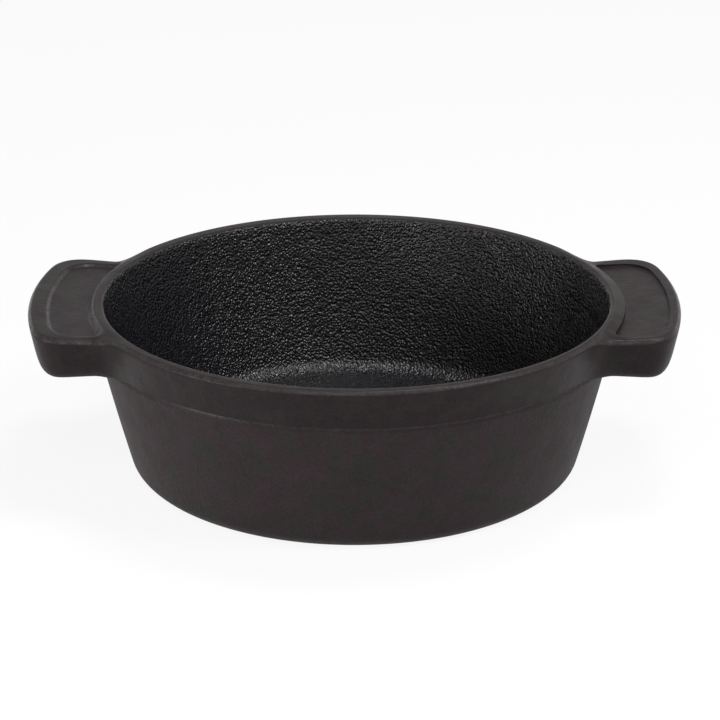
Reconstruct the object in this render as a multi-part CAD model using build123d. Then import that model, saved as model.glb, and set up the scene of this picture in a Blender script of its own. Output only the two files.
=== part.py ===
from build123d import *
from math import cos, radians, sqrt, tan
import os

# Round cast iron pot with two lug handles, in millimetres.
# The origin is the centre of the ground plane that the pot stands on, +Z is up,
# and the handles lie on -X (left) and +X (right).

# Pot body
pot_height = 79.5  # ground to the top of the rim
rim_radius = 120.0  # outside of the rim, where its top and its side would meet sharply
rim_thickness = 7.0  # width of the rim at its top
rim_rounding = 2.0  # outer top edge of the rim
mouth_rounding = 1.8  # inner top edge of the rim
band_height = 17.6  # the thick band round the mouth, from its top to its step
ledge_width = 1.0  # how far the wall stands out past the lower edge of the band
ledge_rounding = 0.7  # softened top edge of the wall, below the step
band_draft = 12.0  # degrees, band leans inward going down
wall_draft = 13.75  # degrees, outer side wall leans inward going down
wall_thickness = 6.0  # side wall where it meets the floor
wall_bow = 1.2  # how far the inner wall bows outward from a straight line
floor_thickness = 5.5  # floor above the ground plane
bottom_rounding = 8.6  # outer corner between the wall and the underside
inner_rounding = 7.0  # inner corner between the wall and the floor
foot_width = 9.0  # flat ring that the pot stands on
foot_depth = 1.0  # how far the underside is raised inside the foot ring
foot_rounding = 0.8  # hollow corner of the underside, inside the foot ring
floor_seam_margin = 3.0  # the floor plate ends this far inside the hollow of the underside

# Handles
handle_length = 28.1  # how far a handle reaches out past the rim
handle_half_width = 56.2  # half the width of a handle, at the place below
handle_width_place = 13.0  # that place, outward from the rim
handle_flare = 4.0  # degrees, the sides open outward from the rim
handle_end_radius = 185.0  # the bowed end of the handle, in plan
handle_corner = 12.0  # corners of the handle, in plan
handle_drop = 1.4  # handle top below the rim top, at the same place as the width
handle_tilt = 3.5  # degrees, the handle top rises outward
handle_thickness = 21.2  # at the same place as the width
handle_draft = 12.0  # degrees, handle sides lean inward going down
handle_top_rounding = 2.8
handle_bottom_rounding = 5.2
handle_root_margin = 3.6  # a handle starts this far inside the middle of its root corners
root_rounding = 16.0  # hollow corner between the rim and a handle, in plan
root_sink = 0.6  # how deep the root corners bite into the rim
root_bottom_rounding = 2.0  # lower edge of the root corners
recess_border = 7.0  # flat border left round the thumb recess
recess_depth = 1.2
recess_slope = 40.0  # degrees, sides of the recess

# Places that follow from the sizes above
wall_top = pot_height - band_height
band_foot_radius = rim_radius - band_height * tan(radians(band_draft))
wall_top_radius = band_foot_radius + ledge_width
mouth_radius = rim_radius - rim_thickness
handle_reach = rim_radius + handle_length
handle_width_at = rim_radius + handle_width_place
handle_top = pot_height - handle_drop
handle_bottom = handle_top - handle_thickness
handle_peak = handle_top + (handle_reach - handle_width_at) * tan(radians(handle_tilt))
ring_top = floor_thickness + inner_rounding
everywhere = 4 * (handle_reach + pot_height)


def wall_radius(height):
    """Outside radius of the side wall at a height above the ground."""
    return wall_top_radius - (wall_top - height) * tan(radians(wall_draft))


def cavity_floor_radius():
    """Radius at which the inner wall and the floor would meet sharply."""
    return wall_radius(floor_thickness) - wall_thickness / cos(radians(wall_draft))


def underside_hollow_radius():
    """Radius of the raised middle of the underside, inside the foot ring."""
    ring_outer = wall_radius(0) - bottom_rounding * tan(radians(45 - wall_draft / 2))
    return ring_outer - foot_width


def round_corner(face, corner, radius):
    """Round the corner of an XZ section that lies at a (radius, height) point."""
    place = Vector(corner[0], 0, corner[1])
    nearest = face.vertices().sort_by_distance(place)[0]
    return fillet(nearest, radius)


def turned(face):
    """A section drawn in the XZ plane, turned once round the pot's axis."""
    return revolve(face, Axis.Z, 360)


def solid_pot():
    """The pot as if it had no inside, with its outer corners rounded."""
    foot_corner = (wall_radius(0), 0)
    ledge_corner = (wall_top_radius, wall_top - ledge_width / 2)
    band_foot = (band_foot_radius, wall_top)
    rim_corner = (rim_radius, pot_height)
    outline = Polyline((0, 0), foot_corner, ledge_corner, band_foot, rim_corner, (0, pot_height), close=True)
    face = Plane.XZ * make_face(outline)
    face = round_corner(face, foot_corner, bottom_rounding)
    face = round_corner(face, ledge_corner, ledge_rounding)
    return turned(round_corner(face, rim_corner, rim_rounding))


def cavity():
    """The space inside the pot, flared above the rim so that it rounds the mouth's edge."""
    floor_corner = (cavity_floor_radius(), floor_thickness)
    mouth = (mouth_radius, pot_height)
    above = pot_height + rim_thickness
    wall = SagittaArc(floor_corner, mouth, -wall_bow)
    rest = Polyline(
        mouth, (rim_radius, pot_height), (rim_radius, above), (0, above), (0, floor_thickness), floor_corner
    )
    face = Plane.XZ * make_face([wall, rest])
    face = round_corner(face, floor_corner, inner_rounding)
    return turned(round_corner(face, mouth, mouth_rounding))


def underside_hollow():
    """The shallow round hollow of the underside."""
    disc = extrude(Circle(underside_hollow_radius()), foot_depth)
    return fillet(disc.edges().group_by(Axis.Z)[-1], foot_rounding)


def slab(low, high):
    """Everything between two heights."""
    align = (Align.CENTER, Align.CENTER, Align.MIN)
    return Pos(0, 0, low) * Box(everywhere, everywhere, high - low, align=align)


def handle_outline(inset=0.0):
    """Plan of the +X handle, running back inside the rim, made smaller all round by an inset."""
    slope = tan(radians(handle_flare))
    inner = rim_radius / 2
    outer = handle_reach + handle_half_width
    inner_half = handle_half_width - (handle_width_at - inner) * slope
    outer_half = handle_half_width + (outer - handle_width_at) * slope
    root = [(inner, inner_half), (inner, -inner_half)]
    end = [(outer, -outer_half), (outer, outer_half)]
    plan = make_face(Polyline(*root, *end, close=True))
    plan &= Pos(handle_reach - handle_end_radius, 0) * Circle(handle_end_radius)
    plan = fillet(plan.vertices().group_by(Axis.X)[-1], handle_corner)
    if inset:
        plan = offset(plan, -inset)
    return plan


def plate_outline():
    """Plan of both handles with the disc between them, and hollow corners where they meet."""
    disc = rim_radius - root_sink
    right = handle_outline()
    plan = Circle(disc) + right + mirror(right, Plane.YZ)
    tiny = disc / 10000
    on_disc = [v for v in plan.vertices() if abs(Vector(*v).length - disc) < tiny]
    return fillet(on_disc, root_rounding)


def plate(top, bottom):
    """The plate of rim and handles between two heights, with drafted sides."""
    return Pos(0, 0, top) * extrude(plate_outline(), top - bottom, dir=(0, 0, -1), taper=handle_draft)


def tilted(shape):
    """A shape drawn level on the ground plane, moved into the sloping top of the +X handle."""
    there = Pos(handle_width_at, 0, handle_top)
    return there * Rot(0, -handle_tilt, 0) * Pos(-handle_width_at, 0, 0) * shape


def handle_start():
    """Distance from the pot's axis at which a handle starts, inside its root corners and inside the wall."""
    corner_middle = sqrt((rim_radius + root_rounding) ** 2 - (handle_half_width + root_rounding) ** 2)
    return min(corner_middle, wall_radius(handle_bottom)) - handle_root_margin


def beyond_root(shape):
    """The part of a shape that lies on the +X side of where the right handle starts."""
    align = (Align.MIN, Align.CENTER, Align.CENTER)
    return shape & Pos(handle_start(), 0, 0) * Box(everywhere, everywhere, everywhere, align=align)


def round_handle_edge(handle, face, radius):
    """Round the edges of a handle's top or bottom face, but not where it meets the pot."""
    root_edge = face.edges().sort_by(Axis.X)[0]
    return fillet([edge for edge in face.edges() if not edge.is_same(root_edge)], radius)


def right_handle(pot):
    """The lug handle on +X, seated on the outside of the pot, with its thumb recess."""
    handle = beyond_root(plate(handle_peak, handle_bottom))
    handle -= tilted(slab(0, everywhere))
    handle = round_handle_edge(handle, handle.faces().sort_by(Axis.Z)[-1], handle_top_rounding)
    handle = round_handle_edge(handle, handle.faces().sort_by(Axis.Z)[0], handle_bottom_rounding)
    recess = extrude(handle_outline(recess_border), recess_depth, dir=(0, 0, -1), taper=recess_slope)
    return handle - tilted(recess) - pot


def root_corners(pot):
    """The four thickenings of the rim that lead into the handles."""
    corners = plate(pot_height, wall_top)
    corners = fillet(corners.edges().group_by(Axis.Z)[-1], rim_rounding)
    corners = fillet(corners.edges().group_by(Axis.Z)[0], root_bottom_rounding)
    between = Box(2 * handle_start(), everywhere, everywhere)
    return (corners & between) - pot


def main():
    pot = solid_pot()
    shell = pot - cavity() - underside_hollow()
    floor_plate = extrude(Circle(underside_hollow_radius() - floor_seam_margin), ring_top)
    right = right_handle(pot)
    nodes = {
        "pot_floor": shell & floor_plate,
        "foot_ring": (shell & slab(0, ring_top)) - floor_plate,
        "pot_wall": shell & slab(ring_top, wall_top),
        "rim_band": (shell & slab(wall_top, pot_height)) + root_corners(pot),
        "left_handle": mirror(right, Plane.YZ),
        "right_handle": right,
    }
    os.makedirs("parts", exist_ok=True)
    for name, shape in nodes.items():
        export_step(shape, f"parts/{name}.step")


main()
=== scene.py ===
import math

import bmesh
import bpy
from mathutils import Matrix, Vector


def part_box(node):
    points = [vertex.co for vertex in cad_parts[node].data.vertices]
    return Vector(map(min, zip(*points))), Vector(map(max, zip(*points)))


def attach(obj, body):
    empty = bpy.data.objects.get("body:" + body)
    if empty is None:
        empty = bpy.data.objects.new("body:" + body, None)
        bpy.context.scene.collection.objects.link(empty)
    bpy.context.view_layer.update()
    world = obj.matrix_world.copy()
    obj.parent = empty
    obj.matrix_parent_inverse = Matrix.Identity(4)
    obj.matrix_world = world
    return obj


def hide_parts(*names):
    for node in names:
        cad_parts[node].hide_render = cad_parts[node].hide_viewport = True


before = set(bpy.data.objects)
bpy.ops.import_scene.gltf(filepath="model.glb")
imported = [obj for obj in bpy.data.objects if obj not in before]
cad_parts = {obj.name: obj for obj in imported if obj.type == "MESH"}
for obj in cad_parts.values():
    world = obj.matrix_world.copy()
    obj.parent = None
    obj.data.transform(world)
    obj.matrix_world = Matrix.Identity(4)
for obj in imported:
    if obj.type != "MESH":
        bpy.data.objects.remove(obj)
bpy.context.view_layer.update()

bl_info = {
    "name": "Cast iron pot",
    "version": (1, 0, 0),
    "blender": (4, 5, 0),
    "location": "3D View > Sidebar > Iron pot",
    "description": "Builds a round cast iron pot with two lug handles over its solid model",
    "category": "Add Mesh",
}

MM = 0.001
LENGTH = {"unit": "LENGTH", "subtype": "DISTANCE", "min": 0.0}
ANGLE = {"unit": "ROTATION", "subtype": "ANGLE"}
COLOUR = {"subtype": "COLOR", "size": 3, "min": 0.0, "max": 1.0}
SHARE = {"subtype": "FACTOR", "min": 0.0, "max": 1.0}
OFFSET = {"unit": "LENGTH", "size": 2, "precision": 5}

POT_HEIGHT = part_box("rim_band")[1].z
WALL_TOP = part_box("pot_wall")[1].z
RING_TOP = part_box("foot_ring")[1].z
FLOOR_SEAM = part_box("pot_floor")[1].x

SHARP_ANGLE = math.radians(42)  # sharper edges than this are shaded crisp
BODY_STEPS = 384  # faces round the turned pieces
INNER_SKIN = 1.0 * MM  # places up to this far outward of the inner wall belong to it
MOUTH_SKIN = 1.2 * MM  # the same, for the finish of the cooking surface
MOUTH_LINE = 0.5 * MM  # the cooking surface ends this far below the rim's top
TINY = 0.1 * MM


def length(name, text, default):
    return bpy.props.FloatProperty(name=name, description=text, default=default, precision=5, **LENGTH)


def angle(name, text, degrees):
    return bpy.props.FloatProperty(name=name, description=text, default=math.radians(degrees), **ANGLE)


def colour(name, text, default):
    return bpy.props.FloatVectorProperty(name=name, description=text, default=default, **COLOUR)


def share(name, text, default):
    return bpy.props.FloatProperty(name=name, description=text, default=default, **SHARE)


def offset(name, text, x, y):
    return bpy.props.FloatVectorProperty(name=name, description=text, default=(x, y), **OFFSET)


class PotSizes(bpy.types.PropertyGroup):
    """Sizes of the pot's body and rim."""

    height: length("Height", "Ground to the top of the rim", POT_HEIGHT)
    rim_radius: length("Rim radius", "Outside of the rim, where top and side would meet", 120.0 * MM)
    rim_width: length("Rim width", "Width of the rim at its top", 7.0 * MM)
    rim_rounding: length("Rim rounding", "Outer top edge of the rim", 2.0 * MM)
    mouth_edge: length("Mouth edge", "Inner top edge, from its corner to the straight wall", 3.2 * MM)
    band_foot: length("Band foot", "Height of the lower edge of the band", WALL_TOP)
    band_dip: length("Band dip", "How far the band's lower edge sinks beside the handles", 1.5 * MM)
    ledge: length("Ledge", "How far the wall stands out past the band's lower edge", 0.9 * MM)
    ledge_rounding: length("Ledge rounding", "Soft top edge of the wall", 2.8 * MM)
    wall: length("Wall", "Side wall where it meets the floor", 6.0 * MM)
    outer_bow: length("Outer bow", "How far the outer wall bows outward", 0.4 * MM)
    inner_bow: length("Inner bow", "How far the inner wall bows outward", 1.2 * MM)
    floor: length("Floor", "Height of the floor above the ground", 5.5 * MM)
    bottom_rounding: length("Bottom rounding", "Outer corner under the wall", 8.6 * MM)
    inner_rounding: length("Inner rounding", "Inner corner between wall and floor", 7.0 * MM)
    foot_width: length("Foot width", "Flat ring that the pot stands on", 9.0 * MM)
    foot_depth: length("Foot depth", "How far the underside is raised inside the foot ring", 1.0 * MM)
    foot_rounding: length("Foot rounding", "Hollow corner inside the foot ring", 0.8 * MM)
    band_draft: angle("Band draft", "Lean of the band", 12.8)
    wall_draft: angle("Wall draft", "Lean of the side wall", 13.75)
    core_shift: offset("Core shift", "How far the inside sits off the outside", 0.95 * MM, -1.3 * MM)
    core_growth: offset("Core growth", "How much the inside is longer than round", 1.3 * MM, -0.45 * MM)


class HandleSizes(bpy.types.PropertyGroup):
    """Sizes of the two lug handles."""

    reach: length("Reach", "From the pot's axis to the end of a handle", 147.9 * MM)
    half_width: length("Half width", "Half the width of a handle, at its middle", 56.2 * MM)
    middle: length("Middle", "Distance of that place from the pot's axis", 133.0 * MM)
    end_radius: length("End radius", "The bowed end, in plan", 185.0 * MM)
    corner: length("Corner", "Corners of a handle, in plan", 13.0 * MM)
    drop: length("Drop", "Handle top below the rim, at its middle", 1.4 * MM)
    thickness: length("Thickness", "Thickness at its middle", 21.2 * MM)
    top_rounding: length("Top rounding", "Upper edge", 2.5 * MM)
    bottom_rounding: length("Bottom rounding", "Lower edge", 5.2 * MM)
    border: length("Border", "Flat border round the thumb recess", 7.0 * MM)
    recess: length("Recess", "Depth of the thumb recess", 1.2 * MM)
    recess_slope: length("Recess slope", "Width of the sloped edge of the recess", 1.5 * MM)
    recess_shift: offset("Recess shift", "How far both recesses sit off the middle", 1.5 * MM, -1.2 * MM)
    flare: angle("Flare", "The sides open outward", 4.0)
    tilt: angle("Tilt", "The top rises outward", 3.5)
    draft: angle("Draft", "The sides lean inward going down", 12.0)
    under_tilt: angle("Under tilt", "The underside falls outward", 1.2)
    skew: angle("Skew", "The back of each handle's end reaches further out than its front", 1.24)


class IronLook(bpy.types.PropertyGroup):
    """Colours and grain of the seasoned iron."""

    outside: colour("Outside", "Body of the pot", (0.0315, 0.0220, 0.0246))
    band: colour("Band", "Rim band and handles", (0.0200, 0.0144, 0.0156))
    inside: colour("Inside", "Cooking surface", (0.0060, 0.0056, 0.0072))
    ash: colour("Ash", "Greyer patches where the seasoning is thin", (0.0250, 0.0238, 0.0215))
    # This lighter colour is partly real edge wear and partly a painted highlight, standing in for light
    # that catches the upturned edges and the shoulder.
    worn_and_highlight: colour("Worn", "Rubbed edges of rim, handles and shoulder", (0.0560, 0.0500, 0.0500))
    outside_roughness: share("Outside roughness", "Gloss of the body", 0.56)
    band_roughness: share("Band roughness", "Gloss of the band", 0.42)
    inside_roughness: share("Inside roughness", "Gloss of the cooking surface", 0.26)
    outside_shine: share("Outside shine", "Strength of the reflections outside", 0.11)
    inside_shine: share("Inside shine", "Strength of the reflections inside", 0.50)
    inside_grain: length("Inside grain", "Size of the pebbles of the cooking surface", 1.2 * MM)
    outside_grain: length("Outside grain", "Size of the sand grain outside", 0.55 * MM)
    cast_grain: length("Cast grain", "Size of the coarser casting marks outside", 1.7 * MM)
    pebble_depth: length("Pebble depth", "Relief of the pebbles", 0.52 * MM)
    coarse_depth: length("Coarse depth", "Relief of the coarser lumps between the pebbles", 0.42 * MM)
    sand_depth: length("Sand depth", "Relief of the sand grain", 0.17 * MM)
    cast_depth: length("Cast depth", "Relief of the casting marks", 0.22 * MM)
    pit_depth: length("Pit depth", "Depth of the scattered pits outside", 0.08 * MM)
    swell_depth: length("Swell depth", "Slow unevenness of the outside", 0.30 * MM)


class StageSettings(bpy.types.PropertyGroup):
    """Floor, light and camera."""

    floor_colour: colour("Floor", "Plain pale floor", (0.9, 0.9, 0.9))
    camera_distance: length("Camera distance", "From the point looked at", 1.060)
    camera_height: angle("Camera angle", "Elevation above the horizon", 21.31)
    target_x: bpy.props.FloatProperty(
        name="Target X", description="Point looked at, along X", default=0.00246, unit="LENGTH"
    )
    target_z: length("Target height", "Point looked at, above the ground", 0.0471)
    lens: bpy.props.FloatProperty(name="Lens", description="Focal length", default=115.5, unit="CAMERA")


# Shapes shared by the pieces -------------------------------------------------------------------


def smooth_step(low, high, value):
    """0 below low, 1 above high, and a soft curve between them."""
    t = min(1.0, max(0.0, (value - low) / (high - low)))
    return t * t * (3.0 - 2.0 * t)


def band_foot_radius(pot):
    return pot.rim_radius - (pot.height - pot.band_foot) * math.tan(pot.band_draft)


def wall_radius(pot, height):
    """Outside radius of the side wall at a height above the ground."""
    straight = band_foot_radius(pot) + pot.ledge - (pot.band_foot - height) * math.tan(pot.wall_draft)
    t = height / pot.band_foot
    return straight + 4.0 * pot.outer_bow * t * (1.0 - t)


def inner_radius(pot, height):
    """Radius of the bowed inner wall at a height above the ground."""
    low = wall_radius(pot, pot.floor) - pot.wall / math.cos(pot.wall_draft)
    high = pot.rim_radius - pot.rim_width
    t = (height - pot.floor) / (pot.height - pot.floor)
    return low + (high - low) * t + 4.0 * pot.inner_bow * t * (1.0 - t)


def foot_outer_radius(pot):
    """Outside of the flat ring that the pot stands on."""
    return wall_radius(pot, 0.0) - pot.bottom_rounding * math.tan(math.radians(45) - pot.wall_draft / 2)


def off_axis_angle(x, y):
    """Angle in degrees between a point and the line through both handles, 0 to 90."""
    return math.degrees(math.atan2(abs(y), abs(x)))


def band_dip(pot, x, y):
    """How far the lower edge of the band lies below its height at the front."""
    deepest, ends = 24.0, 54.0
    return pot.band_dip * (1.0 - smooth_step(deepest, ends, off_axis_angle(x, y)))


def core_stretch(pot):
    """How much longer than round the inside is along X and along Y."""
    size = pot.rim_radius - pot.rim_width
    return [1.0 + growth / size for growth in pot.core_growth]


def core_place(pot, x, y, part=1.0):
    """Where a place of the inner surface goes, with the casting's slightly oval and shifted core."""
    along_x, along_y = core_stretch(pot)
    x += part * (pot.core_shift[0] + x * (along_x - 1.0))
    y += part * (pot.core_shift[1] + y * (along_y - 1.0))
    return x, y


def shift_inside(bm, pot):
    """Moves the inner surface to its core's place, but not the floor plate's seam."""
    for vert in bm.verts:
        x, y, z = vert.co
        radius = math.hypot(x, y)
        if z < pot.floor - TINY or radius > inner_radius(pot, z) + INNER_SKIN:
            continue
        part = smooth_step(FLOOR_SEAM, FLOOR_SEAM + 6.0 * MM, radius)
        vert.co.x, vert.co.y = core_place(pot, x, y, part)


def is_inside(pot, x, y, z):
    """True on the surface that faces the food, up to the rounded edge of the mouth."""
    if z < pot.floor - TINY or z > pot.height - MOUTH_LINE:
        return False
    along_x, along_y = core_stretch(pot)
    radius = math.hypot((x - pot.core_shift[0]) / along_x, (y - pot.core_shift[1]) / along_y)
    return radius < inner_radius(pot, z) + MOUTH_SKIN


def finish_mesh(context, name, bm, node):
    """Makes the piece from a bmesh, stands it for its solid and puts it on the pot's body."""
    pot = context.scene.pot_sizes
    look = context.scene.iron_look
    for face in bm.faces:
        face.material_index = int(is_inside(pot, *face.calc_center_median()))
    mesh = bpy.data.meshes.new(name)
    bm.to_mesh(mesh)
    bm.free()
    mesh.materials.append(iron_material(context, "seasoned_iron", look.outside_shine))
    mesh.materials.append(iron_material(context, "cooking_surface", look.inside_shine))
    piece = bpy.data.objects.new(name, mesh)
    context.scene.collection.objects.link(piece)
    mesh.shade_smooth()
    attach(piece, "root")
    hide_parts(node)
    return piece


def profile(bm, points, closed=True):
    """A line through points (radius, height) in the XZ plane. Returns its vertices."""
    verts = [bm.verts.new((r, 0.0, z)) for r, z in points]
    following = verts[1:] + verts[:1] if closed else verts[1:]
    for pair in zip(verts, following):
        bm.edges.new(pair)
    return verts


def round_profile(bm, vert, radius, segments):
    """Rounds one corner of a profile."""
    a, b = (edge.other_vert(vert).co - vert.co for edge in vert.link_edges)
    reach = radius / math.tan(a.angle(b) / 2)
    bmesh.ops.bevel(
        bm, geom=[vert], offset=reach, offset_type="OFFSET", affect="VERTICES",
        segments=segments, profile=0.5, material=-1,
    )


def turn_profile(bm, steps):
    """Spins the profile in bm once round the pot's axis and closes seam and poles."""
    bmesh.ops.spin(
        bm, geom=bm.verts[:] + bm.edges[:], cent=(0, 0, 0), axis=(0, 0, 1), dvec=(0, 0, 0),
        angle=math.tau, steps=steps, use_merge=True, use_duplicate=False,
    )
    bmesh.ops.remove_doubles(bm, verts=bm.verts[:], dist=1e-6)
    bmesh.ops.recalc_face_normals(bm, faces=bm.faces[:])


# Body pieces -----------------------------------------------------------------------------------


def cut_long_edges(bm, longest):
    """Divides the long edges of a profile into even parts, for even shading."""
    for edge in bm.edges[:]:
        parts = int(edge.calc_length() / longest)
        if parts > 1:
            bmesh.ops.subdivide_edges(bm, edges=[edge], cuts=parts - 1)


class OBJECT_OT_pot_floor(bpy.types.Operator):
    """Round floor plate inside the foot ring"""

    bl_idname = "object.iron_pot_floor"
    bl_label = "Floor"

    def execute(self, context):
        pot = context.scene.pot_sizes
        bm = bmesh.new()
        low, high = pot.foot_depth, pot.floor
        profile(bm, [(0.0, low), (FLOOR_SEAM, low), (FLOOR_SEAM, high), (0.0, high)], closed=False)
        cut_long_edges(bm, 4.0 * MM)
        turn_profile(bm, BODY_STEPS)
        sharpen(finish_mesh(context, "floor_plate", bm, "pot_floor"))
        return {"FINISHED"}


class OBJECT_OT_pot_foot(bpy.types.Operator):
    """Rounded bottom corner with the ring that the pot stands on"""

    bl_idname = "object.iron_pot_foot"
    bl_label = "Foot ring"

    def execute(self, context):
        pot = context.scene.pot_sizes
        outer = foot_outer_radius(pot)
        hollow = outer - pot.foot_width
        bm = bmesh.new()
        corners = profile(bm, [
            (FLOOR_SEAM, pot.floor), (FLOOR_SEAM, pot.foot_depth), (hollow, pot.foot_depth),
            (hollow, 0.0), (wall_radius(pot, 0.0), 0.0), (wall_radius(pot, RING_TOP), RING_TOP),
            (inner_radius(pot, RING_TOP), RING_TOP), (inner_radius(pot, pot.floor), pot.floor),
        ])
        hollow_corner, ring_edge, bottom_corner, floor_corner = (corners[i] for i in (2, 3, 4, 7))
        round_profile(bm, hollow_corner, pot.foot_rounding, 4)
        round_profile(bm, ring_edge, 0.3 * MM, 2)
        round_profile(bm, bottom_corner, pot.bottom_rounding, 14)
        round_profile(bm, floor_corner, pot.inner_rounding, 12)
        turn_profile(bm, BODY_STEPS)
        shift_inside(bm, pot)
        sharpen(finish_mesh(context, "foot", bm, "foot_ring"))
        return {"FINISHED"}


class OBJECT_OT_pot_wall(bpy.types.Operator):
    """Tapered side wall, up to the soft shoulder under the band"""

    bl_idname = "object.iron_pot_wall"
    bl_label = "Side wall"

    def execute(self, context):
        pot = context.scene.pot_sizes
        bm = bmesh.new()
        steps = 24
        heights = [RING_TOP + i * (WALL_TOP - RING_TOP) / steps for i in range(steps + 1)]
        inner = [(inner_radius(pot, z), z) for z in heights]
        outer = [(wall_radius(pot, z), z) for z in reversed(heights[:-3])]
        shoulder = (wall_radius(pot, WALL_TOP), WALL_TOP)
        verts = profile(bm, inner + [shoulder] + outer)
        shape_shoulder(bm, verts[len(inner)], pot)
        turn_profile(bm, BODY_STEPS)
        sink_shoulder(bm, pot)
        shift_inside(bm, pot)
        sharpen(finish_mesh(context, "side_wall", bm, "pot_wall"))
        return {"FINISHED"}


def shape_shoulder(bm, vert, pot):
    """The wall's top slopes out from the foot of the band and curves softly into the wall."""
    under_band = 0.4 * MM
    vert.co.x = band_foot_radius(pot) - under_band
    outer_edge = max(vert.link_edges, key=lambda e: e.other_vert(vert).co.x)
    made = bmesh.ops.subdivide_edges(bm, edges=[outer_edge], cuts=9)["geom_inner"]
    rows = sorted((v for v in made if isinstance(v, bmesh.types.BMVert)), key=lambda v: -v.co.z)
    for i, row in enumerate(rows):
        share_down = i / (len(rows) - 1)
        row.co.z = WALL_TOP - share_down * pot.ledge_rounding
        row.co.x = wall_radius(pot, row.co.z) - pot.ledge * (1.0 - share_down) ** 2


def sink_shoulder(bm, pot):
    """Lets the shoulder follow the lower edge of the band down towards the handles."""
    reach = 14.0 * MM
    for vert in bm.verts:
        x, y, z = vert.co
        radius = math.hypot(x, y)
        near_top = smooth_step(WALL_TOP - reach, WALL_TOP, z)
        if near_top == 0.0 or radius < inner_radius(pot, z) + INNER_SKIN:
            continue
        drop = band_dip(pot, x, y) * near_top
        vert.co.z -= drop
        shift = drop * math.tan(pot.wall_draft) / radius
        vert.co.x -= x * shift
        vert.co.y -= y * shift


def sharpen(piece):
    """Smooth shading with crisp cut edges."""
    piece.data.set_sharp_from_angle(angle=SHARP_ANGLE)


# Rim and handles -------------------------------------------------------------------------------

COLUMNS = 96  # columns of the cage round the rim
QUARTER = COLUMNS // 4
HANDLE_SIDE = 7  # the column that runs along a handle's side, counted from its middle line
STEPS = 6  # rows of faces from the rim to the end of a handle
RECESS_STEP = 2  # the step at which the thumb recess starts
LEVELS = 2  # subdivision
TOP, EDGE_HIGH, EDGE_LOW, FACE_HIGH, FACE_LOW, LOWER, FOOT, UNDER, INNER_FOOT = range(9)
RIM_PART, RIGHT_PART, LEFT_PART = range(3)

ROOT_ANGLE = 31.6  # degrees from a handle's middle line to where the hollow corner has run into the rim
ROOT_CORNER = (107.57 * MM, 55.75 * MM)  # the rim's outside in the hollow corner, in plan
ROOT_INWARD = (-0.446, -0.894)  # direction from there towards the inside of the casting
TOP_SPOTS = [x * MM for x in (118.6, 120.7, 126.5, 133.4, 140.5)]  # steps 1 to 5 along a handle's middle
RIM_BLEND = (117.2 * MM, 122.8 * MM)  # a handle's top rises to the rim between these radii
SKEW_SPAN = (118.0 * MM, 146.0 * MM)  # the skew of a handle's end sets in along this span
SIDE_START = 112.0 * MM  # where the outline of a handle's side starts
SIDE_EVENNESS = 1.15  # above 1 puts more of the side's steps near the rim
CORNER_ENDS = (0.81, 0.79)  # where side and end meet the corner's rounding, as shares of its radius
CORNER_LEAN = 0.235  # how far the corner column is pulled in, as a share of the rounding
RECESS_CORNER = (3.0 * MM, 2.0 * MM)  # the recess's outer corner is pulled in by this
BAND_MIDDLE = 9.5 * MM  # row of the band's face, below the rim's top
BAND_LOWER = 0.8 * MM  # row just above the band's lower edge
BAND_UNDER = 2.8 * MM  # width of the band's underside
INNER_ROWS = (4.5 * MM, 10.0 * MM)  # rows of the rim's inside, above the band's lower edge
HANDLE_MIDDLE = 11.0 * MM  # row of a handle's face, above its underside
HANDLE_UNDER = 14.0 * MM  # border of a handle's underside
LOWER_REACH = 0.586  # rows beside a handle's lower edge, as a share of its rounding
RECESS_CREASE = 0.6


def edge_reach(rounding, draft):
    """Places of the rows that round an edge, measured from the sharp corner along both of its sides."""
    near = rounding / (2.0 * math.sin((math.radians(90) - draft) / 2.0))
    return near, near + 0.55 * rounding


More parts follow.
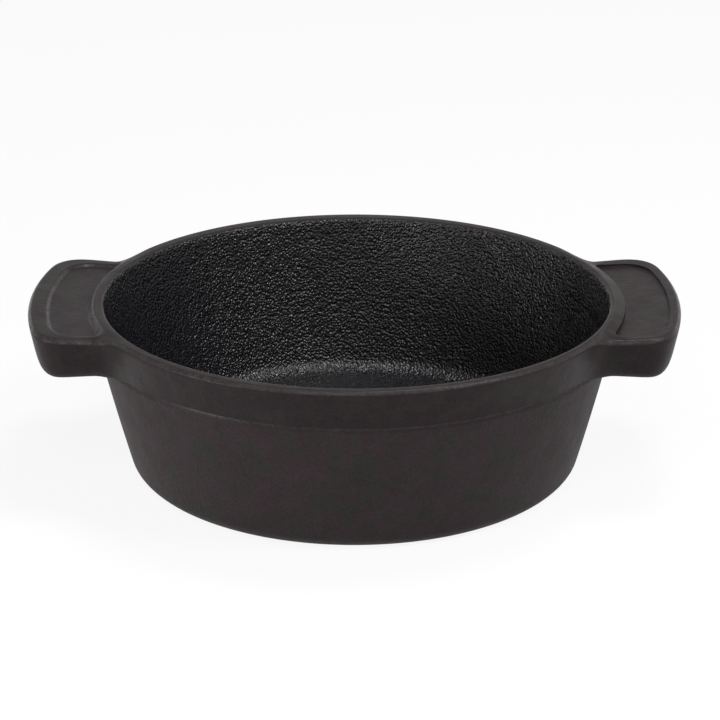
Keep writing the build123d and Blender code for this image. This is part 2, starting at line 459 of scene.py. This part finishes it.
class RimCage:
    """Places of the coarse cage that subdivision turns into the rim and its handles."""

    def __init__(self, pot, handle):
        self.pot = pot
        self.handle = handle
        self.mouth = pot.rim_radius - pot.rim_width
        self.handle_top = pot.height - handle.drop
        self.handle_bottom = self.handle_top - handle.thickness
        self.angles = self.column_angles()

    def column_angles(self):
        """Angle of each column from the handle's middle line to the front of the pot, in degrees."""
        side = self.handle.half_width - self.handle.border
        recess = math.degrees(math.asin(side / self.pot.rim_radius))
        angles = [recess * i / (HANDLE_SIDE - 1) for i in range(HANDLE_SIDE)]
        angles += [(recess + ROOT_ANGLE) / 2, ROOT_ANGLE]
        left = QUARTER - len(angles) + 1
        angles += [ROOT_ANGLE + (90.0 - ROOT_ANGLE) * i / left for i in range(1, left + 1)]
        return angles

    def ring_profile(self):
        """(radius, height) of each row of the plain rim, from the top's outer line and round."""
        pot = self.pot
        outer, top, foot = pot.rim_radius, pot.height, pot.band_foot
        tan = math.tan(pot.band_draft)
        near, far = edge_reach(pot.rim_rounding, pot.band_draft)
        sin, cos = math.sin(pot.band_draft), math.cos(pot.band_draft)
        low = foot + BAND_LOWER
        straight = [foot] + [foot + rise for rise in INNER_ROWS] + [top - pot.mouth_edge]
        return [
            (outer - far, top),
            (outer - near, top),
            (outer - near * sin, top - near * cos),
            (outer - far * sin, top - far * cos),
            (outer - BAND_MIDDLE * tan, top - BAND_MIDDLE),
            (outer - (top - low) * tan, low),
            (band_foot_radius(pot), foot),
            (band_foot_radius(pot) - BAND_UNDER, foot),
            *((inner_radius(pot, z), z) for z in straight),
            (self.mouth, top),
            (self.mouth + 0.75 * pot.mouth_edge, top),
        ]

    def plane_height(self, x):
        return self.handle_top + (x - self.handle.middle) * math.tan(self.handle.tilt)

    def under_height(self, x):
        return self.handle_bottom - (x - self.handle.middle) * math.tan(self.handle.under_tilt)

    def top_height(self, x, y):
        """Height of a handle's top, which rises softly to the rim."""
        t = smooth_step(*RIM_BLEND, math.hypot(x, y))
        return self.pot.height * (1.0 - t) + self.plane_height(x) * t

    def half_width(self, x):
        return self.handle.half_width - (self.handle.middle - x) * math.tan(self.handle.flare)

    def end_x(self, y, inset):
        """X of the bowed end at a Y, moved inward by an inset."""
        radius = self.handle.end_radius - inset
        return self.handle.reach - self.handle.end_radius + math.sqrt(radius * radius - y * y)

    def corner(self, inset):
        """The sharp corner between side and end, and its rounding radius."""
        x = self.handle.reach - inset
        for _ in range(4):  # side and end depend on each other, and this settles them
            y = self.half_width(x) - inset
            x = self.end_x(y, inset)
        smallest = 3.0 * MM
        return x, y, max(self.handle.corner - inset, smallest)

    def outline(self, column, step, inset):
        """Plan place of the handle's outline: its side, its corner or its end."""
        x_corner, y_corner, rounding = self.corner(inset)
        if step < STEPS:
            length = x_corner - CORNER_ENDS[0] * rounding - SIDE_START
            x = SIDE_START + length * ((step - 1) / (STEPS - 2)) ** SIDE_EVENNESS
            return x, self.half_width(x) - inset
        if column == HANDLE_SIDE:
            lean = CORNER_LEAN * rounding
            return x_corner - lean, y_corner - lean
        y = (y_corner - CORNER_ENDS[1] * rounding) * column / (HANDLE_SIDE - 1)
        return self.end_x(y, inset), y

    def root(self, inset):
        """Plan place of the rim in the hollow corner beside a handle."""
        return Vector(ROOT_CORNER) + Vector(ROOT_INWARD) * inset

    def row_on_handle(self, row):
        """(inset, rise above the underside or None, depth below the top) of a row of the outline."""
        tan = math.tan(self.handle.draft)
        sin, cos = math.sin(self.handle.draft), math.cos(self.handle.draft)
        near, far = edge_reach(self.handle.top_rounding, self.handle.draft)
        thick = self.handle.thickness
        soft = LOWER_REACH * self.handle.bottom_rounding
        return {
            TOP: (far, None, 0.0),
            EDGE_HIGH: (near, None, 0.0),
            EDGE_LOW: (near * sin, None, near * cos),
            FACE_HIGH: (far * sin, None, far * cos),
            FACE_LOW: ((thick - HANDLE_MIDDLE) * tan, HANDLE_MIDDLE, 0.0),
            LOWER: ((thick - soft) * tan, soft, 0.0),
            FOOT: (thick * tan + soft, 0.0, 0.0),
            UNDER: (HANDLE_UNDER, 0.0, 0.0),
        }[row]

    def outline_place(self, column, step, row):
        """Place on a handle's side or end."""
        inset, rise, below_top = self.row_on_handle(row)
        x, y = self.outline(column, step, inset)
        if rise is None:
            return x, y, self.top_height(x, y) - below_top
        return x, y, self.under_height(x) + rise

    def top_place(self, column, step):
        """Place inside a handle's top."""
        x_mid = TOP_SPOTS[step - 1]
        t = smooth_step(TOP_SPOTS[RECESS_STEP - 1], TOP_SPOTS[-1], x_mid)
        taper = 8.0 * MM  # the recess narrows towards the rim, as if it lay this much further in
        y = column / (HANDLE_SIDE - 1) * (self.half_width(x_mid - taper) - self.handle.border)
        x = self.bowed(x_mid, y, self.handle.border, t)
        if step == STEPS - 1 and column == HANDLE_SIDE - 1:
            x, y = x - RECESS_CORNER[0], y - RECESS_CORNER[1]
        return x, y, self.top_height(x, y)

    def under_place(self, column, step):
        """Place inside a handle's underside."""
        first = band_foot_radius(self.pot) - BAND_UNDER
        t = step / STEPS
        x_mid = first + (self.handle.reach - HANDLE_UNDER - first) * t
        y = column / HANDLE_SIDE * (self.half_width(x_mid) - HANDLE_UNDER)
        x = self.bowed(x_mid, y, HANDLE_UNDER, t)
        return x, y, self.under_height(x)

    def bowed(self, x_mid, y, inset, t):
        """X at a Y on a line that bows round the pot at t = 0, and like the handle's end at t = 1."""
        bow = self.handle.end_radius - inset
        near = x_mid - math.sqrt(x_mid * x_mid - y * y)
        far = bow - math.sqrt(bow * bow - y * y)
        return x_mid - near * (1.0 - t) - far * t

    def ring_place(self, column, row, radius, height):
        """Place on the rim itself."""
        degrees = self.angles[column]
        x, y = math.cos(math.radians(degrees)), math.sin(math.radians(degrees))
        if row in (LOWER, FOOT, UNDER):
            dip = band_dip(self.pot, x, y)
            if column <= HANDLE_SIDE:
                gap = self.pot.band_foot - self.under_height(self.pot.rim_radius)
                side_share = 0.75
                dip = gap if column < HANDLE_SIDE else gap * side_share
            height -= dip
        if column == HANDLE_SIDE and row <= UNDER:
            x, y = self.root(self.pot.rim_radius - radius)
            if row <= FACE_HIGH:
                height -= self.pot.height - self.top_height(x, y)
            return x, y, height
        before = self.angles[max(column - 1, 0)]
        after = self.angles[min(column + 1, QUARTER)]
        turn = math.radians((after - before) / 2 if column not in (0, QUARTER) else (after - before))
        radius *= 3.0 / (2.0 + math.cos(turn))  # subdivision pulls the cage in by as much
        return x * radius, y * radius, height

    def place(self, column, step, row, ring):
        """Place of any point of the cage on the side of +X and +Y."""
        if step == 0:
            return self.ring_place(column, row, *ring[row])
        if column == HANDLE_SIDE or step == STEPS:
            return self.outline_place(column, step, row)
        if row == TOP:
            return self.top_place(column, step)
        if row == UNDER:
            return self.under_place(column, step)
        raise ValueError(f"no place for column {column}, step {step}, row {row}")


def make_cage(cage):
    """The coarse closed cage of rim and handles, its layers and the function that counts columns."""
    ring = cage.ring_profile()
    bm = bmesh.new()
    row_of = bm.verts.layers.int.new("row")
    step_of = bm.verts.layers.int.new("step")
    column_of = bm.verts.layers.int.new("column")
    for row, vert in enumerate(profile(bm, ring)):
        vert[row_of] = row
    turn_profile(bm, COLUMNS)
    for vert in bm.verts:
        vert[column_of] = round(math.atan2(vert.co.y, vert.co.x) / math.tau * COLUMNS)

    def local_column(vert):
        """Signed column counted from the nearest handle's middle line."""
        column = vert[column_of]
        if abs(column) > QUARTER:
            column = int(math.copysign(2 * QUARTER, column)) - column
        return column

    for side in (1, -1):
        faces = [
            f for f in bm.faces
            if all(v[row_of] <= UNDER and abs(local_column(v)) <= HANDLE_SIDE for v in f.verts)
            and side * f.calc_center_median().x > 0
        ]
        for step in range(1, STEPS + 1):
            made = bmesh.ops.extrude_face_region(bm, geom=faces)["geom"]
            bmesh.ops.delete(bm, geom=[f for f in faces if f.is_valid], context="FACES")
            faces = [g for g in made if isinstance(g, bmesh.types.BMFace)]
            for g in made:
                if isinstance(g, bmesh.types.BMVert):
                    g[step_of] = step
    loose = [v for v in bm.verts if not v.link_faces]
    bmesh.ops.delete(bm, geom=loose, context="VERTS")
    for vert in bm.verts:
        column = local_column(vert)
        x, y, z = cage.place(abs(column), vert[step_of], vert[row_of], ring)
        y = math.copysign(y, column) if column else 0.0
        if vert[step_of]:
            x += y * math.tan(cage.handle.skew) * smooth_step(*SKEW_SPAN, x)
        vert.co = (x if abs(vert[column_of]) <= QUARTER else -x, y, z)
        if vert[row_of] > UNDER:
            vert.co.x, vert.co.y = core_place(cage.pot, vert.co.x, vert.co.y)
    for face in bm.faces:
        if any(v[step_of] for v in face.verts):
            face.material_index = RIGHT_PART if face.calc_center_median().x > 0 else LEFT_PART
    return bm, row_of, step_of, local_column


def sink_recess(bm, cage, row_of, step_of, local_column):
    """Insets the thumb recess into each handle's top."""
    handle = cage.handle
    crease = bm.edges.layers.float.new("crease_edge")

    def in_recess(vert):
        along = RECESS_STEP <= vert[step_of] < STEPS
        return vert[row_of] == TOP and along and abs(local_column(vert)) < HANDLE_SIDE

    for side in (1, -1):
        region = [
            f for f in bm.faces
            if side * f.calc_center_median().x > 0 and all(in_recess(v) for v in f.verts)
        ]
        rim = {e for f in region for e in f.edges if any(o not in region for o in e.link_faces)}
        made = bmesh.ops.inset_region(
            bm, faces=region, thickness=handle.recess_slope, depth=0.0,
            use_boundary=True, use_even_offset=True,
        )["faces"]
        floor_verts = {v for f in region for v in f.verts}
        for vert in floor_verts:
            vert.co.z = cage.plane_height(abs(vert.co.x)) - handle.recess
        for vert in floor_verts | {v for f in made for v in f.verts}:
            vert.co.x += handle.recess_shift[0]
            vert.co.y += handle.recess_shift[1]
        inner = {e for f in region for e in f.edges if any(o in made for o in e.link_faces)}
        for edge in rim | inner:
            edge[crease] = RECESS_CREASE


def crisp_foot(bm, row_of, step_of):
    """Keeps the lower inner and outer edges of the rim crisp where they meet the wall."""
    crease = bm.edges.layers.float["crease_edge"]
    for edge in bm.edges:
        rows = {v[row_of] for v in edge.verts}
        if rows == {INNER_FOOT} or (rows == {FOOT} and all(v[step_of] == 0 for v in edge.verts)):
            edge[crease] = 1.0


class OBJECT_OT_rim_and_handles(bpy.types.Operator):
    """Rim band and the two lug handles that grow out of it"""

    bl_idname = "object.iron_pot_rim"
    bl_label = "Rim and handles"

    def execute(self, context):
        scene = context.scene
        cage = RimCage(scene.pot_sizes, scene.handle_sizes)
        bm, row_of, step_of, local_column = make_cage(cage)
        sink_recess(bm, cage, row_of, step_of, local_column)
        crisp_foot(bm, row_of, step_of)
        bmesh.ops.recalc_face_normals(bm, faces=bm.faces[:])
        mesh = bpy.data.meshes.new("rim_cage")
        bm.to_mesh(mesh)
        bm.free()
        whole = bpy.data.objects.new("rim_cage", mesh)
        scene.collection.objects.link(whole)
        smooth = whole.modifiers.new("Subdivision", "SUBSURF")
        smooth.levels = LEVELS
        smooth.render_levels = LEVELS
        evaluated = whole.evaluated_get(context.evaluated_depsgraph_get())
        fine = bpy.data.meshes.new_from_object(evaluated)
        fine.set_sharp_from_angle(angle=SHARP_ANGLE)
        bpy.data.objects.remove(whole)
        make_cut_piece(context, fine, RIM_PART, "rim", "rim_band")
        make_cut_piece(context, fine, RIGHT_PART, "handle_right", "right_handle")
        make_cut_piece(context, fine, LEFT_PART, "handle_left", "left_handle")
        return {"FINISHED"}


def make_cut_piece(context, fine, part, name, node):
    """Cuts one piece out of the fine mesh, closes the cut and keeps the shading running across it."""
    bm = bmesh.new()
    bm.from_mesh(fine)
    soft = bm.loops.layers.float_vector.new("soft_normal")
    whole_normals = fine.corner_normals
    for face in bm.faces:
        first = fine.polygons[face.index].loop_start
        for i, loop in enumerate(face.loops):
            loop[soft] = whole_normals[first + i].vector
    others = [f for f in bm.faces if f.material_index != part]
    bmesh.ops.delete(bm, geom=others, context="FACES")
    cap = bm.faces.layers.int.new("cap")
    while True:
        border = {e for e in bm.edges if e.is_boundary}
        if not border:
            break
        level = [edge for edge in walk(border) if is_level(edge)]
        made = bmesh.ops.grid_fill(bm, edges=level, mat_nr=part, use_smooth=False)["faces"]
        if not made:
            raise RuntimeError(f"{name}: the cut between rim and handle couldn't be closed")
        for face in made:
            face[cap] = 1
    bmesh.ops.recalc_face_normals(bm, faces=bm.faces[:])
    bm.normal_update()
    normals = []
    for face in bm.faces:
        face.smooth = not face[cap]
        normals += [face.normal.copy() if face[cap] else loop[soft].copy() for loop in face.loops]
    piece = finish_mesh(context, name, bm, node)
    piece.data.normals_split_custom_set(normals)


def walk(border):
    """One closed loop of boundary edges, in order."""
    edge = next(iter(border))
    loop = [edge]
    start, vert = edge.verts
    while vert != start:
        edge = next(e for e in vert.link_edges if e in border and e != edge)
        loop.append(edge)
        vert = edge.other_vert(vert)
    return loop


def is_level(edge):
    """True for the upper and the lower run of the loop where a handle was cut from the rim."""
    a, b = edge.verts
    return abs(a.co.z - b.co.z) < 0.5 * (a.co - b.co).length


# Materials -------------------------------------------------------------------------------------


class Value:
    """A socket in a node tree, with Python's operators as Math nodes."""

    def __init__(self, maker, socket):
        self.maker = maker
        self.socket = socket

    def math(self, operation, other):
        return self.maker.node("ShaderNodeMath", {"operation": operation}, [self, other])

    def __add__(self, other):
        return self.math("ADD", other)

    def __sub__(self, other):
        return self.math("SUBTRACT", other)

    def __mul__(self, other):
        return self.math("MULTIPLY", other)

    def __pow__(self, other):
        return self.math("POWER", other)

    def __rsub__(self, other):
        return self.maker.node("ShaderNodeMath", {"operation": "SUBTRACT"}, [other, self])

    __radd__ = __add__
    __rmul__ = __mul__


def blend(mask, off, on):
    """One number where the mask is 0, and another where it is 1."""
    return off * (1.0 - mask) + on * mask


class Maker:
    """Adds nodes to one material or world."""

    def __init__(self, owner):
        self.owner = owner
        owner.use_nodes = True
        self.tree = owner.node_tree
        self.tree.nodes.clear()

    def add(self, kind, settings=None, sockets=None):
        """A node with its settings first and then its sockets, given by place or by name."""
        node = self.tree.nodes.new(kind)
        for key, value in (settings or {}).items():
            setattr(node, key, value)
        pairs = enumerate(sockets) if isinstance(sockets, list) else (sockets or {}).items()
        for key, value in pairs:
            socket = node.inputs[key]
            if isinstance(value, Value):
                self.tree.links.new(value.socket, socket)
            elif isinstance(value, bpy.types.NodeSocket):
                self.tree.links.new(value, socket)
            else:
                socket.default_value = value
        return node

    def node(self, kind, settings=None, sockets=None, output=0):
        """One output of a new node."""
        return Value(self, self.add(kind, settings, sockets).outputs[output])

    def split(self, vector):
        """X, Y and Z of a vector."""
        return [Value(self, part) for part in self.add("ShaderNodeSeparateXYZ", None, [vector]).outputs]

    def mix(self, factor, a, b):
        """Colour or vector mix."""
        node = self.add("ShaderNodeMix", {"data_type": "RGBA"})
        for name, value in (("Factor_Float", factor), ("A_Color", a), ("B_Color", b)):
            socket = next(s for s in node.inputs if s.identifier == name)
            if isinstance(value, Value):
                self.tree.links.new(value.socket, socket)
            else:
                socket.default_value = value if name == "Factor_Float" else (*value, 1.0)
        return Value(self, next(s for s in node.outputs if s.identifier == "Result_Color"))

    def ramp(self, value, low, high):
        """0 at low and 1 at high, with a soft curve between them."""
        return self.node(
            "ShaderNodeMapRange", {"interpolation_type": "SMOOTHSTEP"},
            {"Value": value, "From Min": low, "From Max": high, "To Min": 0.0, "To Max": 1.0},
        )


# Where the finishes change
INSIDE_EDGE = (1.9 * MM, 2.6 * MM)  # the cooking surface fades out this far behind the inner wall
INSIDE_FLOOR = (3.0 * MM, 4.5 * MM)  # and between these heights, inside the floor
INSIDE_TOP = (0.7 * MM, 0.2 * MM)  # and this far below the rim's top
BAND_EDGE = (3.0 * MM, 0.5 * MM)  # the band's finish sets in this far below its lower edge
# Rubbed edges, lightened as wear and as a painted highlight, by how much the surface faces up, and how
# broken they are
EDGE_STEEP = (0.10, 0.45)
EDGE_LEVEL = (0.84, 0.96)
EDGE_BREAKUP = (0.20, 0.62)
# Light and dark spots of the colour: size, detail, roughness and weight
TONE_FLAT = 0.255
TONE_SPOTS = [
    (26.0 * MM, 3.0, 0.55, 0.30),
    (7.0 * MM, 3.0, 0.6, 0.34),
    (1.2 * MM, 2.0, 0.6, 0.85),
]


class IronMaker(Maker):
    """Nodes of the seasoned iron: pebbled and glossier inside, sandy outside, smoother on the band."""

    def __init__(self, material, pot, look):
        super().__init__(material)
        self.pot = pot
        self.look = look
        self.place = self.node("ShaderNodeTexCoord", output="Object")
        self.x, self.y, self.z = self.split(self.place)
        self.inside = self.inside_mask()
        self.band = self.ramp(self.z, *(WALL_TOP - below for below in BAND_EDGE))
        # The rubbed-edge mask lightens the colour as real wear and as a painted highlight on edges that
        # turn up to the light.
        self.rubbed_and_highlit = self.edge_wear_and_highlight_mask()

    def grain(self, size, detail=2.0, roughness=0.5):
        """Soft noise from 0 to 1, with spots of a size."""
        return self.node(
            "ShaderNodeTexNoise", {"noise_dimensions": "3D"},
            {"Vector": self.place, "Scale": 1.0 / size, "Detail": detail, "Roughness": roughness},
        )

    def cells(self, size, smoothness):
        """Distance to the middle of the nearest cell, with cells of a size."""
        return self.node(
            "ShaderNodeTexVoronoi", {"voronoi_dimensions": "3D", "feature": "SMOOTH_F1"},
            {"Vector": self.place, "Scale": 1.0 / size, "Smoothness": smoothness, "Randomness": 1.0},
        )

    def inside_mask(self):
        """1 on the floor and the inner wall, up to just under the rim's top."""
        pot = self.pot
        along_x, along_y = core_stretch(pot)
        x = (self.x - pot.core_shift[0]) * (1.0 / along_x)
        y = (self.y - pot.core_shift[1]) * (1.0 / along_y)
        radius = (x * x + y * y) ** 0.5
        low = inner_radius(pot, pot.floor)
        slope = (inner_radius(pot, pot.height) - low) / (pot.height - pot.floor)
        wall = low + (self.z - pot.floor) * slope
        near = 1.0 - self.ramp(radius - wall, *INSIDE_EDGE)
        below_top = 1.0 - self.ramp(self.z, *(pot.height - below for below in INSIDE_TOP))
        return near * self.ramp(self.z, *INSIDE_FLOOR) * below_top

    def edge_wear_and_highlight_mask(self):
        """1 on outer edges, where the surface turns from level to steep; it marks real wear and a
        painted highlight there.
        """
        facing = self.add("ShaderNodeNewGeometry").outputs["Normal"]
        up = self.split(facing)[2]
        edge = self.ramp(up, *EDGE_STEEP) * (1.0 - self.ramp(up, *EDGE_LEVEL)) * (1.0 - self.inside)
        return edge * self.ramp(self.grain(2.2 * MM, 3.0, 0.6), *EDGE_BREAKUP)

    def colour(self):
        """Body or band with greyer patches and lighter rubbed edges, partly wear and partly painted
        highlight, or the cooking surface, in uneven tone.
        """
        look = self.look
        patches = self.ramp(self.grain(9.5 * MM, 3.0, 0.65), 0.44, 0.58)
        base = self.mix(self.band, look.outside, look.band)
        base = self.mix(patches * (0.90 - self.band * 0.50), base, look.ash)
        # Painted highlight: the lighter colour on edges and shoulder stands partly for light catching
        # them and partly for wear.
        base = self.mix(self.rubbed_and_highlit * 0.6, base, look.worn_and_highlight)
        base = self.mix(self.inside, base, look.inside)
        tone = TONE_FLAT
        for size, detail, roughness, weight in TONE_SPOTS:
            tone = tone + self.grain(size, detail, roughness) * weight
        return self.node("ShaderNodeVectorMath", {"operation": "SCALE"}, {"Vector": base, "Scale": tone})

    def roughness(self):
        """Gloss of body, band and cooking surface, a little patchy and shinier on rubbed edges."""
        look = self.look
        outside = blend(self.band, look.outside_roughness, look.band_roughness)
        rough = blend(self.inside, outside, look.inside_roughness)
        return rough + (self.grain(9.0 * MM, 3.0, 0.6) - 0.5) * 0.18 - self.rubbed_and_highlit * 0.16

    def relief(self):
        """Height of the fine relief: sand grain, casting marks and pits outside, pebbles inside."""
        look = self.look
        sand = self.grain(look.outside_grain, 2.0, 0.6)
        cast = self.grain(look.cast_grain, 2.0, 0.55)
        pit = 1.0 - self.ramp(self.cells(3.4 * MM, 0.4), 0.03, 0.22)
        swell = self.grain(14.0 * MM)
        pebble = 1.0 - self.cells(look.inside_grain, 0.25)
        coarse = self.grain(look.inside_grain * 1.8)
        outside = (sand * look.sand_depth + cast * look.cast_depth) * (1.0 - self.band * 0.5)
        outside = outside - pit * look.pit_depth * (1.0 - self.band * 0.6) + swell * look.swell_depth
        inside = pebble * look.pebble_depth + coarse * look.coarse_depth
        inside = inside + swell * (look.swell_depth * 0.5)
        return blend(self.inside, outside, inside)


def iron_material(context, name, shine):
    """The seasoned iron with a strength of its reflections, made once for each name."""
    existing = bpy.data.materials.get(name)
    if existing:
        return existing
    scene = context.scene
    m = IronMaker(bpy.data.materials.new(name), scene.pot_sizes, scene.iron_look)
    bump = m.node("ShaderNodeBump", None, {"Strength": 1.0, "Distance": 1.0, "Height": m.relief()})
    shader = m.add("ShaderNodeBsdfPrincipled", None, {
        "Base Color": m.colour(), "Roughness": m.roughness(), "Normal": bump,
        "IOR": 1.45, "Specular IOR Level": shine,
    })
    m.add("ShaderNodeOutputMaterial", None, {"Surface": shader.outputs[0]})
    return m.owner


# Stage -----------------------------------------------------------------------------------------


FLOOR_RADIUS = 6.0
FLOOR_GAP = 0.1 * MM  # the floor lies this far under the pot
FLOOR_WHITE = 0.9  # how plainly white the floor shows
BACKDROP_RISE = (0.12, 0.50)  # the backdrop turns grey between these heights of the looking direction
BACKDROP_GREY = 0.55  # and darkens by this share
SOFT_LIGHT = 0.12  # strength of the backdrop's light on the pot
WHITE = (1.0, 1.0, 1.0, 1.0)
STUDIO_LIGHTS = [  # name, place, size and power
    ("key", (0.97, -0.52, 1.18), 0.35, 10.0),
    ("front_fill", (-0.12, -1.02, 1.26), 0.6, 7.0),
    ("left_fill", (-1.15, -0.60, 0.20), 0.36, 7.0),
    ("top", (0.28, 0.18, 1.46), 0.4, 10.5),
]


class OBJECT_OT_pot_stage(bpy.types.Operator):
    """Floor, soft lights and camera"""

    bl_idname = "object.iron_pot_stage"
    bl_label = "Stage"

    def execute(self, context):
        scene = context.scene
        stage = scene.pot_stage
        bm = bmesh.new()
        bmesh.ops.create_circle(bm, cap_ends=True, segments=64, radius=FLOOR_RADIUS)
        bmesh.ops.translate(bm, verts=bm.verts[:], vec=(0.0, 0.0, -FLOOR_GAP))
        mesh = bpy.data.meshes.new("floor")
        bm.to_mesh(mesh)
        bm.free()
        ground = bpy.data.objects.new("floor", mesh)
        scene.collection.objects.link(ground)
        mesh.materials.append(floor_material(stage))
        make_world(scene)
        target = Vector((stage.target_x, 0.0, stage.target_z))
        for lamp in STUDIO_LIGHTS:
            add_light(*lamp, target)
        camera = bpy.data.objects.new("camera", bpy.data.cameras.new("camera"))
        scene.collection.objects.link(camera)
        lift = stage.camera_height
        back = Vector((0.0, -math.cos(lift), math.sin(lift)))
        camera.location = target + back * stage.camera_distance
        camera.rotation_euler = (-back).to_track_quat("-Z", "Y").to_euler()
        camera.data.lens = stage.lens
        scene.camera = camera
        scene.view_settings.view_transform = "Standard"
        return {"FINISHED"}


def add_light(name, location, size, power, target):
    """A square soft light that points at the pot."""
    lamp = bpy.data.lights.new(name, "AREA")
    lamp.energy = power
    lamp.size = size
    holder = bpy.data.objects.new(name, lamp)
    bpy.context.scene.collection.objects.link(holder)
    holder.location = location
    holder.rotation_euler = (target - holder.location).to_track_quat("-Z", "Y").to_euler()


def background_seen(m):
    """1 for the rays that see the plain background: camera, glossy and transmission rays."""
    path = m.add("ShaderNodeLightPath")
    camera, glossy, through = (
        Value(m, path.outputs[f"Is {kind} Ray"]) for kind in ("Camera", "Glossy", "Transmission")
    )
    return camera + (glossy + through).math("MINIMUM", 1.0)


def floor_material(stage):
    """A pale floor that shows white and keeps a faint shadow."""
    m = Maker(bpy.data.materials.new("pale_floor"))
    plain = m.add("ShaderNodeBsdfDiffuse", None, {"Color": (*stage.floor_colour, 1.0)})
    white = m.add("ShaderNodeEmission", None, {"Color": WHITE, "Strength": 1.0})
    seen = background_seen(m) * FLOOR_WHITE
    mixed = m.add("ShaderNodeMixShader", None, [seen, plain.outputs[0], white.outputs[0]])
    m.add("ShaderNodeOutputMaterial", None, {"Surface": mixed.outputs[0]})
    return m.owner


def make_world(scene):
    """A backdrop that is white low down and grey overhead, and a plain soft light on the pot."""
    scene.world = bpy.data.worlds.new("studio")
    m = Maker(scene.world)
    seen = background_seen(m)
    up = m.split(m.node("ShaderNodeTexCoord", output="Generated"))[2]
    backdrop = 1.0 - m.ramp(up, *BACKDROP_RISE) * BACKDROP_GREY
    strength = seen * backdrop + (1.0 - seen) * SOFT_LIGHT
    background = m.add("ShaderNodeBackground", None, {"Color": WHITE, "Strength": strength})
    m.add("ShaderNodeOutputWorld", None, {"Surface": background.outputs[0]})


# Add-on ----------------------------------------------------------------------------------------

GROUPS = {
    "pot_sizes": PotSizes,
    "handle_sizes": HandleSizes,
    "iron_look": IronLook,
    "pot_stage": StageSettings,
}
OPERATORS = (
    OBJECT_OT_pot_floor,
    OBJECT_OT_pot_foot,
    OBJECT_OT_pot_wall,
    OBJECT_OT_rim_and_handles,
    OBJECT_OT_pot_stage,
)


class VIEW3D_PT_iron_pot(bpy.types.Panel):
    """Sizes, colours and pieces of the pot"""

    bl_idname = "VIEW3D_PT_iron_pot"
    bl_label = "Iron pot"
    bl_space_type = "VIEW_3D"
    bl_region_type = "UI"
    bl_category = "Iron pot"

    def draw(self, context):
        for key, group in GROUPS.items():
            box = self.layout.box()
            for name in group.__annotations__:
                box.prop(getattr(context.scene, key), name)
        for operator in OPERATORS:
            self.layout.operator(operator.bl_idname)


def register():
    for group in GROUPS.values():
        bpy.utils.register_class(group)
    for operator in OPERATORS:
        bpy.utils.register_class(operator)
    bpy.utils.register_class(VIEW3D_PT_iron_pot)
    for key, group in GROUPS.items():
        setattr(bpy.types.Scene, key, bpy.props.PointerProperty(type=group))


def unregister():
    for key in GROUPS:
        delattr(bpy.types.Scene, key)
    bpy.utils.unregister_class(VIEW3D_PT_iron_pot)
    for operator in reversed(OPERATORS):
        bpy.utils.unregister_class(operator)
    for group in reversed(GROUPS.values()):
        bpy.utils.unregister_class(group)


def main():
    register()
    bpy.ops.object.iron_pot_floor()
    bpy.ops.object.iron_pot_foot()
    bpy.ops.object.iron_pot_wall()
    bpy.ops.object.iron_pot_rim()
    bpy.ops.object.iron_pot_stage()


if __name__ == "__main__":
    main()
